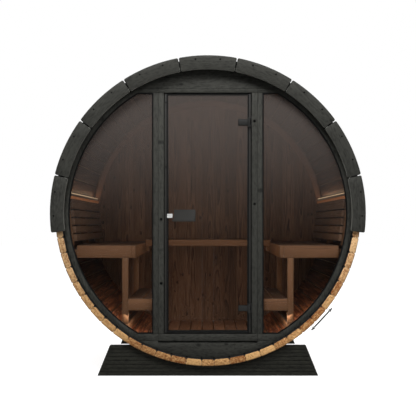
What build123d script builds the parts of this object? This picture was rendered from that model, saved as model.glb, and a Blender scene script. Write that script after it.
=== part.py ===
from build123d import *
import math
import os

os.makedirs("parts", exist_ok=True)

# Barrel sauna with a glazed front. Millimetres, +Z up, front towards -Y.
# The origin is on the ground, below the middle of the barrel.

# Fits
fit = 0.3
kerf = 0.4
swing_clearance = 8.0

# Barrel shell of tapered staves
barrel_radius = 1000.0
barrel_length = 1500.0
stave_thickness = 45.0
stave_count = 60
closing_stave_angle = 4.84
bottom_side_stave_count = 5
side_group_stave_count = 10
stave_chamfer = 6.0
tongue_reach = 6.0

# Cradles under the barrel
cradle_thickness = 44.0
cradle_inset = 32.0
cradle_waist = 69.0
cradle_height = 199.0
cradle_foot_width = 1453.0
cradle_top_width = 1291.0
groove_pitch = 25.0
groove_width = 4.0
groove_depth = 3.0
groove_count = 7

# Steel bands and their tensioning bolts
band_width = 20.0
band_thickness = 1.0
band_inset = 100.0
tensioner_angle = -42.9
tensioner_stand_off = 36.0
ear_spacing = 150.0
ear_thickness = 4.0
ear_margin = 14.0
bolt_diameter = 10.0
bolt_length = 200.0
nut_width = 17.0
nut_height = 8.0

# Roof skin and the curved boards that close its ends
roof_thickness = 4.0
roof_half_angle = 97.1
fascia_thickness = 25.0
fascia_lip = 29.0
fascia_overhang = 16.0
fascia_joint_angles = (10.8, 32.4, 54.0, 75.9)
fascia_gap = 5.0
fascia_corner = 6.0

# Front wall, set back inside the barrel
wall_inset = 42.0
wall_thickness = 45.0
ring_width = 34.0
front_panel_height = 159.0
mullion_inner = 327.0
mullion_width = 33.0
frame_board_width = 37.5
frame_head_height = 28.0
frame_sill_height = 47.0
drip_groove_height = 10.0
drip_groove_depth = 18.0
top_board_height = 82.0
window_glass_thickness = 8.0
window_glass_recess = 10.0

# Door leaf of plain glass, and the stop behind it
door_glass_thickness = 8.0
door_glass_recess = 4.0
stop_overlap = 21.0
stop_thickness = 25.0

# Hinges of the door
pin_offset = 10.0
pin_stand_off = 10.0
pin_diameter = 8.0
knuckle_diameter = 18.0
knuckle_height = 62.0
hinge_plate_height = 36.0
hinge_plate_length = 68.0
hinge_plate_thickness = 4.0
hinge_leaf_thickness = 3.0
upper_hinge_inset = 187.0
lower_hinge_inset = 161.0

# Lock case, pull and latch of the door
lock_edge_inset = 57.0
lock_width = 143.0
lock_rise = 732.0
lock_height = 79.0
lock_depth = 24.0
lock_round = 6.0
pull_height = 16.0
pull_depth = 16.0
pull_shift = 9.0
latch_gap = 9.0
latch_width = 35.0
latch_height = 26.0
latch_drop = 2.0
latch_depth = 14.0
latch_groove = 3.0

# Back wall
back_wall_inset = 78.0
back_wall_thickness = 42.0

# Floor
floor_rise = 85.0
floor_slat_width = 79.0
floor_slat_gap = 9.0
floor_slat_thickness = 25.0
floor_slat_count = 9
joist_width = 60.0
joist_inset = 78.0

# Benches
board_thickness = 27.0
furniture_inset = 5.0
seat_rise = 655.0
seat_board_height = 82.0
seat_wall_gap = 59.0
seat_width = 389.0
seat_slat_count = 4
slat_gap = 8.0
leg_inset = 49.0
leg_width = 40.0
base_rail_height = 29.0
step_rise = 301.0
step_board_height = 79.0
step_width = 191.0
step_slat_count = 2
step_overrun = 13.0
back_bench_lift = 23.0
back_bench_width = 445.0
back_bench_board_height = 50.0
back_bench_slat_count = 4
ledger_height = 40.0

# Backrests and the light strips on them
backrest_gap = 30.0
backrest_wall_gap = 24.0
backrest_lean = 6.7
backrest_slat_height = 46.0
backrest_slat_count = 4
backrest_top_board_height = 68.0
backrest_slat_thickness = 22.0
backrest_cap_width = 34.0
backrest_cap_thickness = 18.0
rib_width = 45.0
light_set_back = 4.0
light_width = 16.0
light_height = 22.0

# The shell
stave_pitch = (360.0 - closing_stave_angle) / (stave_count - 1)
axis_height = cradle_waist + barrel_radius
front_y = -barrel_length / 2
bore_radius = barrel_radius * math.cos(math.radians(stave_pitch / 2)) - stave_thickness
fitted_radius = bore_radius - fit
fascia_outer_radius = barrel_radius + fascia_lip
fascia_inner_radius = barrel_radius - stave_thickness - fascia_overhang

# Front wall and door
wall_back = wall_inset + wall_thickness
window_top = axis_height + bore_radius - front_panel_height
window_bottom = axis_height - bore_radius + front_panel_height
window_radius = bore_radius - ring_width
mullion_outer = mullion_inner + mullion_width
reveal = mullion_inner - fit - frame_board_width
frame_top = window_top + frame_head_height + fit
frame_bottom = window_bottom - frame_sill_height
door_half_width = reveal - swing_clearance
door_top = window_top - swing_clearance + fit
door_bottom = window_bottom + swing_clearance - fit
glass_front = wall_inset + door_glass_recess
glass_back = glass_front + door_glass_thickness
stop_front = glass_back + swing_clearance
pin_x = door_half_width - pin_offset
pin_depth = glass_front - pin_stand_off


def half_width(height):
    """Half of the clear width inside the barrel at a height above the ground."""
    return math.sqrt(fitted_radius**2 - (height - axis_height) ** 2)


def wall_height(offset):
    """Height of the barrel's inside above the ground, at a distance to the side of its middle."""
    return axis_height - math.sqrt(fitted_radius**2 - offset**2)


# The room
back_wall_front = barrel_length - back_wall_inset - back_wall_thickness
room_front = wall_back + furniture_inset
room_back = back_wall_front - fit
floor_height = axis_height - bore_radius + floor_rise
floor_underside = floor_height - floor_slat_thickness
seat_height = floor_height + seat_rise
seat_underside = seat_height - board_thickness
seat_board_bottom = seat_height - seat_board_height
seat_outer_edge = half_width(seat_height) - seat_wall_gap
seat_inner_edge = seat_outer_edge - seat_width
leg_inner_edge = seat_inner_edge + leg_inset
leg_outer_edge = leg_inner_edge + leg_width
base_rail_top = wall_height(leg_outer_edge) + base_rail_height
back_bench_height = seat_height + back_bench_lift
back_bench_depth = back_wall_front - back_bench_width
second_leg_depth = back_bench_depth - furniture_inset - leg_width
step_height = floor_height + step_rise
step_end_depth = back_bench_depth + step_overrun
backrest_bottom = seat_height + backrest_gap
lean_sine = math.sin(math.radians(backrest_lean))
lean_cosine = math.cos(math.radians(backrest_lean))
backrest_pitch = backrest_slat_height + slat_gap
backrest_length = backrest_slat_count * backrest_pitch + backrest_top_board_height
backrest_top = backrest_bottom + backrest_length * lean_cosine
backrest_reach = backrest_length * lean_sine + backrest_slat_thickness * lean_cosine
backrest_inner_edge = half_width(backrest_top) - backrest_wall_gap - backrest_reach
cap_left = backrest_inner_edge + backrest_length * lean_sine
cap_top = backrest_top + fit + backrest_cap_thickness


def across(depth):
    """Upright plane across the barrel, centred on its axis, at a depth behind the stave ends."""
    return Plane(origin=(0, front_y + depth, axis_height), x_dir=(1, 0, 0), z_dir=(0, -1, 0))


def level(height):
    """Plane parallel to the ground at a height above it."""
    return Plane.XY.offset(height)


def panel(left, right, bottom, top, mode=Mode.ADD):
    """Draw a rectangle between two sides and two heights on an upright plane across the barrel."""
    with Locations(((left + right) / 2, (bottom + top) / 2 - axis_height)):
        Rectangle(right - left, top - bottom, mode=mode)


def plate(left, right, front, back, mode=Mode.ADD):
    """Draw a rectangle between two sides and two depths on a level plane."""
    with Locations(((left + right) / 2, front_y + (front + back) / 2)):
        Rectangle(right - left, back - front, mode=mode)


# Staves, with flat faces, tapered sides, and a tongue on one side that lies in the next one's groove
def stave_profile(angle):
    """Cross-section of a stave of one angle, its middle along +X from the barrel's axis."""
    half = math.radians(angle / 2)
    outer = barrel_radius * math.cos(half)
    inner = outer - stave_thickness
    middle = (outer + inner) / 2
    edges = [distance * math.tan(half) - kerf / 2 / math.cos(half) for distance in (outer, inner, middle)]
    with BuildSketch() as profile:
        Polygon((outer, edges[0]), (inner, edges[1]), (inner, -edges[1]), (outer, -edges[0]), align=None)
        chamfer(profile.vertices(), length=stave_chamfer)
        with Locations((middle, edges[2])):
            RegularPolygon(tongue_reach, 6, major_radius=False, rotation=angle / 2)
        with Locations((middle, -edges[2] - kerf)):
            RegularPolygon(
                tongue_reach + fit, 6, major_radius=False, rotation=-angle / 2, mode=Mode.SUBTRACT
            )
    return profile.sketch


def stave_angle(number):
    """Direction of a full-width stave's middle, numbered anticlockwise from the closing stave."""
    return -90 + closing_stave_angle / 2 + stave_pitch * (number + 0.5)


full_stave = stave_profile(stave_pitch)
closing_stave = stave_profile(closing_stave_angle)
full_stave_count = stave_count - 1
top_group_stave_count = full_stave_count - 2 * bottom_side_stave_count - 4 * side_group_stave_count
group_counts = {
    "staves_lower_right": side_group_stave_count,
    "staves_upper_right": side_group_stave_count,
    "staves_top": top_group_stave_count,
    "staves_upper_left": side_group_stave_count,
    "staves_lower_left": side_group_stave_count,
}
pieces = {}
with BuildPart() as staves_bottom:
    with BuildSketch(across(barrel_length)):
        with PolarLocations(0, 1, start_angle=-90):
            add(closing_stave)
        for number in range(-bottom_side_stave_count, bottom_side_stave_count):
            with PolarLocations(0, 1, start_angle=stave_angle(number % full_stave_count)):
                add(full_stave)
    extrude(amount=barrel_length)
pieces["staves_bottom"] = staves_bottom

first_stave = bottom_side_stave_count
for name, group_count in group_counts.items():
    with BuildPart() as staves:
        with BuildSketch(across(barrel_length)):
            for number in range(first_stave, first_stave + group_count):
                with PolarLocations(0, 1, start_angle=stave_angle(number)):
                    add(full_stave)
        extrude(amount=barrel_length)
    pieces[name] = staves
    first_stave += group_count

# Cradles, grooved on their outer faces
back_cradle_depth = barrel_length - cradle_inset - cradle_thickness
for name, depth, outer_face in (
    ("front_cradle", cradle_inset, cradle_inset),
    ("back_cradle", back_cradle_depth, back_cradle_depth + cradle_thickness - groove_depth),
):
    with BuildPart() as cradle:
        with BuildSketch(across(depth + cradle_thickness)):
            with Locations((0, -axis_height)):
                Polygon(
                    (-cradle_foot_width / 2, 0),
                    (cradle_foot_width / 2, 0),
                    (cradle_top_width / 2, cradle_height),
                    (-cradle_top_width / 2, cradle_height),
                    align=None,
                )
            Circle(barrel_radius + fit, mode=Mode.SUBTRACT)
        extrude(amount=cradle_thickness)
        with BuildSketch(across(outer_face + groove_depth)):
            for number in range(1, groove_count + 1):
                groove_bottom = number * groove_pitch - groove_width / 2
                panel(-cradle_foot_width, cradle_foot_width, groove_bottom, groove_bottom + groove_width)
        extrude(amount=groove_depth, mode=Mode.SUBTRACT)
    pieces[name] = cradle

# Steel bands, open between two ears that a long bolt draws together
band_inner = barrel_radius + fit
band_outer = band_inner + band_thickness
bolt_radius = barrel_radius + tensioner_stand_off
joint_directions = [stave_angle(number - 0.5) for number in range(stave_count)]


def round_staves(radius):
    """Corners of a closed line that runs straight over each stave's flat face."""
    return [
        (radius * math.cos(math.radians(direction)), radius * math.sin(math.radians(direction)))
        for direction in joint_directions
    ]


for name, depth in (("front_band", band_inset), ("back_band", barrel_length - band_inset)):
    with BuildPart() as band:
        with BuildSketch(across(depth + band_width / 2)):
            Polygon(*round_staves(band_outer), align=None)
            with PolarLocations(bolt_radius, 1, start_angle=tensioner_angle):
                Rectangle(4 * tensioner_stand_off, ear_spacing, mode=Mode.SUBTRACT)
            with PolarLocations(0, 1, start_angle=tensioner_angle):
                ear_tip = bolt_radius + ear_margin
                ear_length = 2 * tensioner_stand_off + ear_margin
                with Locations((ear_tip, ear_spacing / 2), (ear_tip, -ear_spacing / 2)):
                    Rectangle(ear_length, ear_thickness, align=(Align.MAX, Align.CENTER))
            Polygon(*round_staves(band_inner), align=None, mode=Mode.SUBTRACT)
        extrude(amount=band_width)
        tensioner_axis = Plane(
            origin=(
                bolt_radius * math.cos(math.radians(tensioner_angle)),
                front_y + depth,
                axis_height + bolt_radius * math.sin(math.radians(tensioner_angle)),
            ),
            x_dir=(0, 1, 0),
            z_dir=(-math.sin(math.radians(tensioner_angle)), 0, math.cos(math.radians(tensioner_angle))),
        )
        with BuildSketch(tensioner_axis):
            Circle(bolt_diameter / 2 + fit)
        extrude(amount=bolt_length / 2, both=True, mode=Mode.SUBTRACT)
        with BuildSketch(tensioner_axis):
            Circle(bolt_diameter / 2)
        extrude(amount=bolt_length / 2, both=True)
        for side in (1, -1):
            nut_start = ear_spacing / 2 + ear_thickness / 2 + fit
            with BuildSketch(tensioner_axis.offset(side * (nut_start + nut_height / 2))):
                RegularPolygon(nut_width / 2, 6, major_radius=False)
            extrude(amount=nut_height / 2, both=True)
    pieces[name] = band

# Roof skin over the bands
with BuildPart() as roof_skin:
    with BuildSketch(across(barrel_length)):
        Circle(band_outer + fit + roof_thickness)
        Circle(band_outer + fit, mode=Mode.SUBTRACT)
        reach = 2 * barrel_radius
        drop = reach / math.tan(math.radians(180 - roof_half_angle))
        Polygon((0, 0), (-reach, -drop), (-reach, -2 * reach), (reach, -2 * reach), (reach, -drop),
                align=None, mode=Mode.SUBTRACT)
    extrude(amount=barrel_length)
pieces["roof_skin"] = roof_skin

# Curved boards at both ends of the roof
fascia_middle = (fascia_outer_radius + fascia_inner_radius) / 2
joint_length = 2 * (fascia_outer_radius - fascia_inner_radius)
for name, depth in (("front_fascia", -fascia_thickness), ("back_fascia", barrel_length)):
    with BuildPart() as fascia:
        with BuildSketch(across(depth + fascia_thickness)) as boards:
            Circle(fascia_outer_radius)
            Circle(fascia_inner_radius, mode=Mode.SUBTRACT)
            Polygon((0, 0), (-reach, -drop), (-reach, -2 * reach), (reach, -2 * reach), (reach, -drop),
                    align=None, mode=Mode.SUBTRACT)
            for angle in fascia_joint_angles:
                for turn in (90 - angle, 90 + angle):
                    with PolarLocations(fascia_middle, 1, start_angle=turn):
                        Rectangle(joint_length, fascia_gap, mode=Mode.SUBTRACT)
            chamfer(boards.vertices(), length=fascia_corner)
        extrude(amount=fascia_thickness)
    pieces[name] = fascia

# Front wall: boards above and below, curved rings beside the windows
with BuildPart() as front_wall_top:
    with BuildSketch(across(wall_back)):
        joint = frame_top + fit + top_board_height
        panel(-barrel_radius, barrel_radius, joint + kerf, axis_height + barrel_radius)
        panel(-barrel_radius, barrel_radius, frame_top + fit, joint)
        panel(mullion_inner, barrel_radius, window_top, frame_top + fit - kerf)
        panel(-barrel_radius, -mullion_inner, window_top, frame_top + fit - kerf)
        Circle(fitted_radius, mode=Mode.INTERSECT)
    extrude(amount=wall_thickness)
pieces["front_wall_top"] = front_wall_top

with BuildPart() as front_wall_bottom:
    with BuildSketch(across(wall_back)):
        panel(-barrel_radius, barrel_radius, axis_height - barrel_radius, frame_bottom - fit)
        panel(mullion_inner, barrel_radius, frame_bottom - fit + kerf, window_bottom)
        panel(-barrel_radius, -mullion_inner, frame_bottom - fit + kerf, window_bottom)
        Circle(fitted_radius, mode=Mode.INTERSECT)
    extrude(amount=wall_thickness)
    with BuildSketch(across(wall_inset + drip_groove_depth)):
        groove_top = frame_bottom - fit
        panel(fit - mullion_inner, mullion_inner - fit, groove_top - drip_groove_height, groove_top)
    extrude(amount=drip_groove_depth, mode=Mode.SUBTRACT)
pieces["front_wall_bottom"] = front_wall_bottom

with BuildPart() as front_ring_right:
    with BuildSketch(across(wall_back)):
        Circle(fitted_radius)
        Circle(window_radius, mode=Mode.SUBTRACT)
        panel(mullion_outer, barrel_radius, window_bottom + fit, window_top - fit, mode=Mode.INTERSECT)
    extrude(amount=wall_thickness)
pieces["front_ring_right"] = front_ring_right

with BuildPart() as front_mullions:
    with BuildSketch(across(wall_back)):
        for left in (mullion_inner, -mullion_outer):
            panel(left, left + mullion_width, window_bottom + fit, window_top - fit)
    extrude(amount=wall_thickness)
pieces["front_mullions"] = front_mullions

with BuildPart() as door_frame:
    with BuildSketch(across(wall_back)):
        for left in (reveal, -mullion_inner + fit):
            panel(left, left + frame_board_width, window_bottom + fit, window_top)
        panel(fit - mullion_inner, mullion_inner - fit, window_top + fit, frame_top)
        panel(fit - mullion_inner, mullion_inner - fit, frame_bottom, window_bottom)
    extrude(amount=wall_thickness)
pieces["door_frame"] = door_frame

with BuildPart() as door_stop:
    with BuildSketch(across(stop_front + stop_thickness)):
        stop_edge = door_half_width - stop_overlap
        stop_top = door_top - stop_overlap + swing_clearance
        stop_bottom = door_bottom + stop_overlap - swing_clearance
        for left in (stop_edge, fit - reveal):
            panel(left, left + reveal - fit - stop_edge, window_bottom + fit, window_top)
        panel(fit - stop_edge, stop_edge - fit, stop_top, window_top)
        panel(fit - stop_edge, stop_edge - fit, window_bottom + fit, stop_bottom)
    extrude(amount=stop_thickness)
pieces["door_stop"] = door_stop

with BuildPart() as right_window:
    with BuildSketch(across(wall_inset + window_glass_recess + window_glass_thickness)):
        Circle(window_radius - fit)
        panel(mullion_outer + fit, barrel_radius, window_bottom + fit, window_top - fit, mode=Mode.INTERSECT)
    extrude(amount=window_glass_thickness)
pieces["right_window"] = right_window

# Back wall
with BuildPart() as back_wall:
    with BuildSketch(across(back_wall_front + back_wall_thickness)):
        Circle(fitted_radius)
    extrude(amount=back_wall_thickness)
pieces["back_wall"] = back_wall

# Floor of slats on joists
floor_pitch = floor_slat_width + floor_slat_gap
with BuildPart() as floor_slats:
    with BuildSketch(across(room_back)):
        for number in range(floor_slat_count):
            middle = (number - (floor_slat_count - 1) / 2) * floor_pitch
            panel(middle - floor_slat_width / 2, middle + floor_slat_width / 2, floor_underside, floor_height)
        Circle(fitted_radius, mode=Mode.INTERSECT)
    extrude(amount=room_back - wall_back - fit)
pieces["floor_slats"] = floor_slats

first_joist = wall_back + joist_inset
last_joist = back_wall_front - joist_inset - joist_width
with BuildPart() as floor_joists:
    for depth in (first_joist, (first_joist + last_joist) / 2, last_joist):
        with BuildSketch(across(depth + joist_width)):
            panel(-barrel_radius, barrel_radius, axis_height - barrel_radius, floor_underside)
            Circle(fitted_radius, mode=Mode.INTERSECT)
        extrude(amount=joist_width)
pieces["floor_joists"] = floor_joists

# Side bench: seat slats, boards round them, legs on a rail, and a low step
seat_left = seat_inner_edge + board_thickness + fit
seat_slat_width = (seat_outer_edge - seat_left - (seat_slat_count - 1) * slat_gap) / seat_slat_count
ledger_left = seat_outer_edge - board_thickness
with BuildPart() as right_bench_seat:
    with BuildSketch(across(room_back)):
        for number in range(seat_slat_count):
            left = seat_left + number * (seat_slat_width + slat_gap)
            panel(left, left + seat_slat_width, seat_underside, seat_height)
    extrude(amount=room_back - room_front - board_thickness - fit)
pieces["right_bench_seat"] = right_bench_seat

with BuildPart() as right_bench_frame:
    with BuildSketch(across(room_back)):
        panel(seat_inner_edge, seat_inner_edge + board_thickness, seat_board_bottom, seat_height)
    extrude(amount=room_back - room_front)
    with BuildSketch(across(room_front + board_thickness)):
        panel(seat_left, seat_outer_edge, seat_board_bottom, seat_height)
    extrude(amount=board_thickness)
    with BuildSketch(across(room_back)):
        panel(ledger_left, barrel_radius, seat_underside - ledger_height, seat_underside)
        Circle(fitted_radius, mode=Mode.INTERSECT)
    extrude(amount=room_back - room_front - board_thickness - fit)
    with BuildSketch(across(room_back)):
        panel(leg_inner_edge, leg_outer_edge, axis_height - barrel_radius, base_rail_top)
        Circle(fitted_radius, mode=Mode.INTERSECT)
    extrude(amount=room_back - room_front)
    with BuildSketch(level(base_rail_top + fit)):
        plate(leg_inner_edge, leg_outer_edge, room_front, room_front + leg_width)
        plate(leg_inner_edge, leg_outer_edge, second_leg_depth, second_leg_depth + leg_width)
    extrude(amount=seat_board_bottom - base_rail_top - 2 * fit)
pieces["right_bench_frame"] = right_bench_frame

step_outer_edge = leg_inner_edge - fit
step_inner_edge = leg_inner_edge - step_width
step_underside = step_height - board_thickness
step_board_bottom = step_height - step_board_height
step_slat_width = (step_outer_edge - step_inner_edge - (step_slat_count - 1) * slat_gap) / step_slat_count
with BuildPart() as right_step:
    with BuildSketch(across(room_front + board_thickness)):
        panel(step_inner_edge, step_outer_edge, step_board_bottom, step_height)
    extrude(amount=board_thickness)
    with BuildSketch(across(step_end_depth)):
        for number in range(step_slat_count):
            left = step_inner_edge + number * (step_slat_width + slat_gap)
            panel(left, left + step_slat_width, step_underside, step_height)
    extrude(amount=step_end_depth - room_front - board_thickness - fit)
    with BuildSketch(across(step_end_depth)):
        panel(step_inner_edge, step_inner_edge + board_thickness, step_board_bottom, step_underside - fit)
        panel(step_outer_edge - board_thickness, step_outer_edge, step_board_bottom, step_underside - fit)
    extrude(amount=step_end_depth - room_front - board_thickness - fit)
    with BuildSketch(level(floor_height + fit)):
        first_leg = room_front + board_thickness
        plate(step_inner_edge, step_inner_edge + board_thickness, first_leg, first_leg + leg_width)
        plate(step_inner_edge, step_inner_edge + board_thickness, step_end_depth - leg_width, step_end_depth)
    extrude(amount=step_board_bottom - floor_height - 2 * fit)
pieces["right_step"] = right_step

# Bench across the back, between the side benches
bench_half_width = seat_inner_edge - fit
bench_underside = back_bench_height - board_thickness
bench_board_bottom = back_bench_height - back_bench_board_height
first_slat = back_bench_depth + board_thickness + fit
bench_slat_width = (room_back - first_slat - (back_bench_slat_count - 1) * slat_gap) / back_bench_slat_count
with BuildPart() as back_bench:
    with BuildSketch(across(back_bench_depth + board_thickness)):
        panel(-bench_half_width, bench_half_width, bench_board_bottom, back_bench_height)
    extrude(amount=board_thickness)
    with BuildSketch(level(bench_underside)):
        for number in range(back_bench_slat_count):
            front = first_slat + number * (bench_slat_width + slat_gap)
            plate(-bench_half_width, bench_half_width, front, front + bench_slat_width)
    extrude(amount=board_thickness)
    with BuildSketch(across(room_back)):
        for left in (-bench_half_width, -board_thickness / 2, bench_half_width - board_thickness):
            panel(left, left + board_thickness, bench_board_bottom, bench_underside - fit)
        for left in (-bench_half_width, bench_half_width - board_thickness):
            top = bench_board_bottom - fit
            panel(left, left + board_thickness, top - ledger_height, top)
    extrude(amount=room_back - first_slat)
pieces["back_bench"] = back_bench

# Backrest: leaning slats on ribs that fill up to the staves, a cap board, and a light strip on it
backrest_plane = Plane(
    origin=(backrest_inner_edge, front_y + room_back, backrest_bottom),
    x_dir=(lean_cosine, 0, -lean_sine),
    z_dir=(0, -1, 0),
)
with BuildPart() as right_backrest:
    with BuildSketch(backrest_plane):
        for number in range(backrest_slat_count):
            with Locations((0, number * backrest_pitch)):
                Rectangle(backrest_slat_thickness, backrest_slat_height, align=Align.MIN)
        with Locations((0, backrest_slat_count * backrest_pitch)):
            Rectangle(backrest_slat_thickness, backrest_top_board_height, align=Align.MIN)
    extrude(amount=room_back - room_front)
    with BuildSketch(across(room_back)):
        panel(cap_left, cap_left + backrest_cap_width, backrest_top + fit, cap_top)
    extrude(amount=room_back - room_front)
pieces["right_backrest"] = right_backrest

rib_offset = (backrest_slat_thickness + fit) / lean_cosine
rib_top = backrest_top - fit
rib_bottom = seat_height + fit
rib_edge_top = backrest_inner_edge + rib_offset + (rib_top - backrest_bottom) * lean_sine / lean_cosine
rib_edge_bottom = backrest_inner_edge + rib_offset + (rib_bottom - backrest_bottom) * lean_sine / lean_cosine
with BuildPart() as right_backrest_ribs:
    for depth in (room_front, (room_front + room_back - rib_width) / 2, room_back - rib_width):
        with BuildSketch(across(depth + rib_width)):
            Polygon(
                (rib_edge_bottom, rib_bottom - axis_height),
                (barrel_radius, rib_bottom - axis_height),
                (barrel_radius, rib_top - axis_height),
                (rib_edge_top, rib_top - axis_height),
                align=None,
            )
            Circle(fitted_radius, mode=Mode.INTERSECT)
        extrude(amount=rib_width)
pieces["right_backrest_ribs"] = right_backrest_ribs

light_left = cap_left + light_set_back
light_bottom = cap_top + fit
with BuildPart() as right_light_strip:
    with BuildSketch(across(room_back)):
        panel(light_left, light_left + light_width, light_bottom, light_bottom + light_height)
    extrude(amount=room_back - room_front)
pieces["right_light_strip"] = right_light_strip

# The left-hand pieces mirror the right-hand ones
for right_name in (
    "front_ring_right",
    "right_window",
    "right_bench_seat",
    "right_bench_frame",
    "right_step",
    "right_backrest",
    "right_backrest_ribs",
    "right_light_strip",
):
    with BuildPart() as left_piece:
        mirror(pieces[right_name].part, about=Plane.YZ)
    pieces[right_name.replace("right", "left")] = left_piece

# Door glass
with BuildPart() as door_glass:
    with BuildSketch(across(glass_back)):
        panel(-door_half_width, door_half_width, door_bottom, door_top)
    extrude(amount=door_glass_thickness)
pieces["door_glass"] = door_glass

# Hinges: a plate on the glass with the middle knuckle, and a leaf in the reveal with the pin
hinge_heights = (door_top - upper_hinge_inset, door_bottom + lower_hinge_inset)
pin_y = front_y + pin_depth
plate_back = glass_front - fit
with BuildPart() as door_hinges:
    for height in hinge_heights:
        with BuildSketch(level(height - hinge_plate_height / 2)):
            with Locations((pin_x, pin_y)):
                Circle(knuckle_diameter / 2)
            plate(pin_x - hinge_plate_length, pin_x, plate_back - hinge_plate_thickness, plate_back)
            with Locations((pin_x, pin_y)):
                Circle(pin_diameter / 2 + fit, mode=Mode.SUBTRACT)
        extrude(amount=hinge_plate_height)
pieces["door_hinges"] = door_hinges

leaf_outer = reveal - fit
leaf_inner = leaf_outer - hinge_leaf_thickness
leaf_front = pin_depth - hinge_leaf_thickness / 2
leaf_back = pin_depth + hinge_leaf_thickness / 2
with BuildPart() as frame_hinges:
    for height in hinge_heights:
        with BuildSketch(level(height - knuckle_height / 2)):
            with Locations((pin_x, pin_y)):
                Circle(knuckle_diameter / 2)
            plate(pin_x, leaf_outer, leaf_front, leaf_back)
            plate(leaf_inner, leaf_outer, leaf_front, stop_front - fit)
        extrude(amount=knuckle_height)
        with BuildSketch(level(height - hinge_plate_height / 2 - fit)):
            plate(pin_x - knuckle_diameter, leaf_inner, pin_depth - knuckle_diameter, glass_front)
        extrude(amount=hinge_plate_height + 2 * fit, mode=Mode.SUBTRACT)
        with BuildSketch(level(height - knuckle_height / 2)):
            with Locations((pin_x, pin_y)):
                Circle(pin_diameter / 2)
        extrude(amount=knuckle_height)
pieces["frame_hinges"] = frame_hinges

# Lock case on both sides of the glass, with a pull along its lower edge
lock_left = lock_edge_inset - door_half_width
lock_middle = lock_left + lock_width / 2
lock_bottom = door_bottom + lock_rise
with BuildPart() as door_handle:
    for back in (plate_back, glass_back + fit + lock_depth):
        with BuildSketch(across(back)):
            with Locations((lock_middle, lock_bottom + lock_height / 2 - axis_height)):
                RectangleRounded(lock_width, lock_height, lock_round)
        extrude(amount=lock_depth)
    with BuildSketch(across(plate_back - lock_depth)):
        pull_middle = (lock_middle - pull_shift, lock_bottom + pull_height / 2 - axis_height)
        with Locations(pull_middle):
            RectangleRounded(lock_width, pull_height, lock_round)
    extrude(amount=pull_depth)
pieces["door_handle"] = door_handle

latch_right = lock_left - latch_gap
latch_left = latch_right - latch_width
latch_middle = lock_bottom + lock_height / 2 - latch_drop
with BuildPart() as door_latch:
    with BuildSketch(across(plate_back)):
        panel(latch_left, latch_right, latch_middle - latch_height / 2, latch_middle + latch_height / 2)
    extrude(amount=latch_depth)
    with BuildSketch(across(plate_back - latch_depth + latch_groove)):
        panel(latch_left, latch_right, latch_middle - latch_groove / 2, latch_middle + latch_groove / 2)
    extrude(amount=latch_groove, mode=Mode.SUBTRACT)
pieces["door_latch"] = door_latch

for name, piece in pieces.items():
    piece.part.label = name
    export_step(piece.part, f"parts/{name}.step")
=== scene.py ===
"""Barrel sauna with a glazed front: the finish of every surface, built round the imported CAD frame."""

import math
import random

import bmesh
import bpy
import numpy as np
from mathutils import Matrix, Vector


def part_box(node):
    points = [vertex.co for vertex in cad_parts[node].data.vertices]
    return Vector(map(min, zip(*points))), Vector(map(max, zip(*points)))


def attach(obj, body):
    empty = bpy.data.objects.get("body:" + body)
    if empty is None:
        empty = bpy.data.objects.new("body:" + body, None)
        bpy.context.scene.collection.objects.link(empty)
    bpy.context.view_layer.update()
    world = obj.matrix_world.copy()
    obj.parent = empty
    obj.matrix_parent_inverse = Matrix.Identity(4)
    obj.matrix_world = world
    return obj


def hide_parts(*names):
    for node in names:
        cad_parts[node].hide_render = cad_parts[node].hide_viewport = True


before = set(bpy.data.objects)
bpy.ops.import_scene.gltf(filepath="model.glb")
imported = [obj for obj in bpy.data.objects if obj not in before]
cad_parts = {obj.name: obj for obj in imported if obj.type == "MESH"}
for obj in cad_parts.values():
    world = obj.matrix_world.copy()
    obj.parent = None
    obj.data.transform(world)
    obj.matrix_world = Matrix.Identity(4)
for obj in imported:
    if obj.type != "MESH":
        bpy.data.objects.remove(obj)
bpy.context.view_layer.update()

bl_info = {
    "name": "Barrel Sauna",
    "version": (1, 0, 0),
    "blender": (4, 5, 0),
    "location": "View3D > Sidebar > Sauna",
    "description": "Dresses the frame of a barrel sauna with boards, glass, shingles and fittings",
    "category": "Object",
}

# Places read from the frame, in metres
skin_low, skin_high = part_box("roof_skin")
stave_low, stave_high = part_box("staves_bottom")
top_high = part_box("staves_top")[1]
glass_low, glass_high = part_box("door_glass")
wall_low, wall_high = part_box("front_wall_bottom")
back_low, back_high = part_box("back_wall")
frame_low, frame_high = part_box("door_frame")
barrel_front = stave_low.y
barrel_back = stave_high.y
barrel_length = barrel_back - barrel_front
axis_height = (stave_low.z + top_high.z) / 2
barrel_radius = top_high.z - axis_height
bore_radius = (back_high.x - back_low.x) / 2
roof_radius = skin_high.z - axis_height
roof_half_angle = math.acos((skin_low.z - axis_height) / roof_radius)
stave_pitch = math.radians(6.02)

# Sizes of what is added to the frame, in metres; a turn is in radians, and a size or overlap is a share
stave_ease = 0.001
strap_ease = 0.0003
bolt_ease = 0.0008
fascia_ease = 0.006
fascia_screw_inset = 0.024
fascia_screw_turn = 0.106
fascia_screw_size = 1.1
frame_screw_inset = 0.019
frame_screw_size = 1.9
screw_hole_depth = 0.005
screw_sinking = 0.0036
groove_seal_width = 0.0085
groove_seal_depth = 0.006
groove_seal_inset = 0.008
tabs_per_course = 6
tab_gap = 0.006
tab_overlap = 1.1
tab_corner = 0.018
tab_lift = 0.0036
tab_thickness = 0.003
tab_clearance = 0.0004
ridge_tab_count = 11
ridge_tab_width = 0.24
ridge_tab_length = 0.16
gasket_width = 0.008
gasket_depth = 0.007
glass_edge_width = 0.004
glass_edge_depth = 0.001
pane_ease = 0.0008
wall_board_gap = 0.0004
wall_board_ease = 0.003
trim_width = 0.042
trim_depth = 0.022
trim_inset = 0.0345
trim_foot_drop = 0.012
trim_foot_inset = 0.04
trim_ease = 0.002
backrest_ease = 0.0035
profile_width = 0.012
diffuser_width = 0.004
diffuser_height = 0.006
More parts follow.
